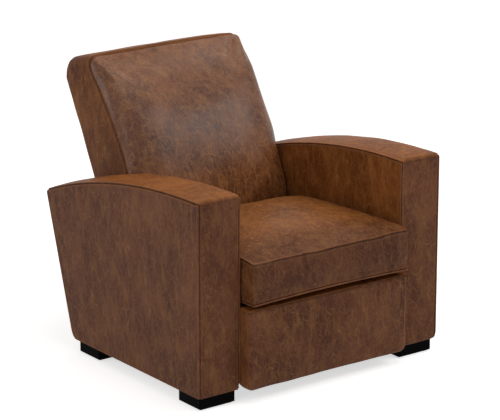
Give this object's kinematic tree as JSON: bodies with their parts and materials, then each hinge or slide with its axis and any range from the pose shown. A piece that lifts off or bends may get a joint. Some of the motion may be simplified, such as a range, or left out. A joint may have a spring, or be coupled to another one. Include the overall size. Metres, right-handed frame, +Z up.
{
  "type": "cinema recliner seat",
  "caption": "Leather cinema recliner armchair with arched box arms, a loose-look box cushion, a leaning boxed back that reclines as the seat glides forward, and a swing-out footrest.",
  "frame": {"origin": "floor level at the centre of the bounding box", "axes": "+Z up, the seat faces -Y, +Y to the rear, +X to the right as seen from the front"},
  "size_m": [0.9, 0.9954, 0.889],
  "materials": {
    "leather": "satin",
    "timber": "matte",
    "foot_black": "satin",
    "nylon": "satin",
    "zinc_steel": "satin",
    "black_steel": "satin",
    "spring_steel": "satin",
    "felt": "matte",
    "dust_cloth": "matte"
  },
  "bodies": {
    "base": {"arm_cover_left": "leather", "arm_cover_right": "leather", "arm_frame_left": "timber", "arm_frame_right": "timber", "foot_front_left": "foot_black", "foot_front_right": "foot_black", "foot_rear_left": "foot_black", "foot_rear_right": "foot_black", "foot_glides": "nylon", "foot_bolts": "zinc_steel", "base_rail_front": "timber", "base_rail_rear": "timber", "base_side_rail_left": "timber", "base_side_rail_right": "timber", "rail_bolts": "zinc_steel", "track_left": "black_steel", "track_right": "black_steel", "track_screws": "zinc_steel", "rear_panel_board": "timber", "rear_panel_cover": "leather", "dust_cover": "dust_cloth"},
    "seat": {"seat_rail_front": "timber", "seat_rail_rear": "timber", "seat_rail_left": "timber", "seat_rail_right": "timber", "seat_springs": "spring_steel", "seat_spring_clips": "spring_steel", "seat_deck_pad": "felt", "seat_cushion": "leather", "seat_plate_left": "black_steel", "seat_plate_right": "black_steel", "cross_tube": "black_steel", "glide_blocks": "nylon", "glide_studs": "zinc_steel", "link_pivot_pins": "zinc_steel", "back_pivot_bolts": "zinc_steel", "seat_screws": "zinc_steel"},
    "backrest": {"back_frame": "timber", "back_springs": "spring_steel", "back_cushion": "leather", "back_cover": "leather", "back_bracket_left": "black_steel", "back_bracket_right": "black_steel", "bracket_screws": "zinc_steel"},
    "front_links": {"front_link_left": "black_steel", "front_link_right": "black_steel", "link_cross_tube": "black_steel", "front_link_rivets": "zinc_steel"},
    "rear_links": {"rear_link_left": "black_steel", "rear_link_right": "black_steel"},
    "carrier_links": {"carrier_link_left": "black_steel", "carrier_link_right": "black_steel", "carrier_rivets": "zinc_steel"},
    "control_links": {"control_link_left": "black_steel", "control_link_right": "black_steel"},
    "footrest": {"footrest_board": "timber", "footrest_pad": "leather", "footrest_bracket_left": "black_steel", "footrest_bracket_right": "black_steel", "footrest_fasteners": "zinc_steel"}
  },
  "joints": [
    {"name": "seat_glide", "type": "slide", "parent": "base", "child": "seat", "axis": [0, -0.9945, 0.1045], "range_m": [0, 0.07]},
    {"name": "back_recline", "type": "hinge", "parent": "seat", "child": "backrest", "pos_m": [0, 0.158, 0.262], "axis": [-1, 0, 0], "range_deg": [0, 28]},
    {"name": "footrest_extend", "type": "hinge", "parent": "seat", "child": "front_links", "pos_m": [0, -0.367, 0.256], "axis": [-1, 0, 0], "range_deg": [0, 98]},
    {"name": "rear_link_swing", "type": "hinge", "parent": "seat", "child": "rear_links", "pos_m": [0, -0.292, 0.242], "axis": [-1, 0, 0], "range_deg": [0, 98]},
    {"name": "carrier_level", "type": "hinge", "parent": "front_links", "child": "carrier_links", "pos_m": [0, -0.31145, 0.0743], "axis": [-1, 0, 0], "range_deg": [-98, 0]},
    {"name": "control_swing", "type": "hinge", "parent": "front_links", "child": "control_links", "pos_m": [0, -0.32899, 0.13168], "axis": [-1, 0, 0], "range_deg": [-98, 0]},
    {"name": "footrest_turn", "type": "hinge", "parent": "carrier_links", "child": "footrest", "pos_m": [0, -0.4, 0.2], "axis": [-1, 0, 0], "range_deg": [0, 98]}
  ],
  "couplings": [
    {"joint": "back_recline", "follows": "seat_glide", "rad_per_m": 6.981},
    {"joint": "rear_link_swing", "follows": "footrest_extend", "ratio": 1},
    {"joint": "carrier_level", "follows": "footrest_extend", "ratio": -1},
    {"joint": "control_swing", "follows": "footrest_extend", "ratio": -1},
    {"joint": "footrest_turn", "follows": "footrest_extend", "ratio": 1}
  ]
}
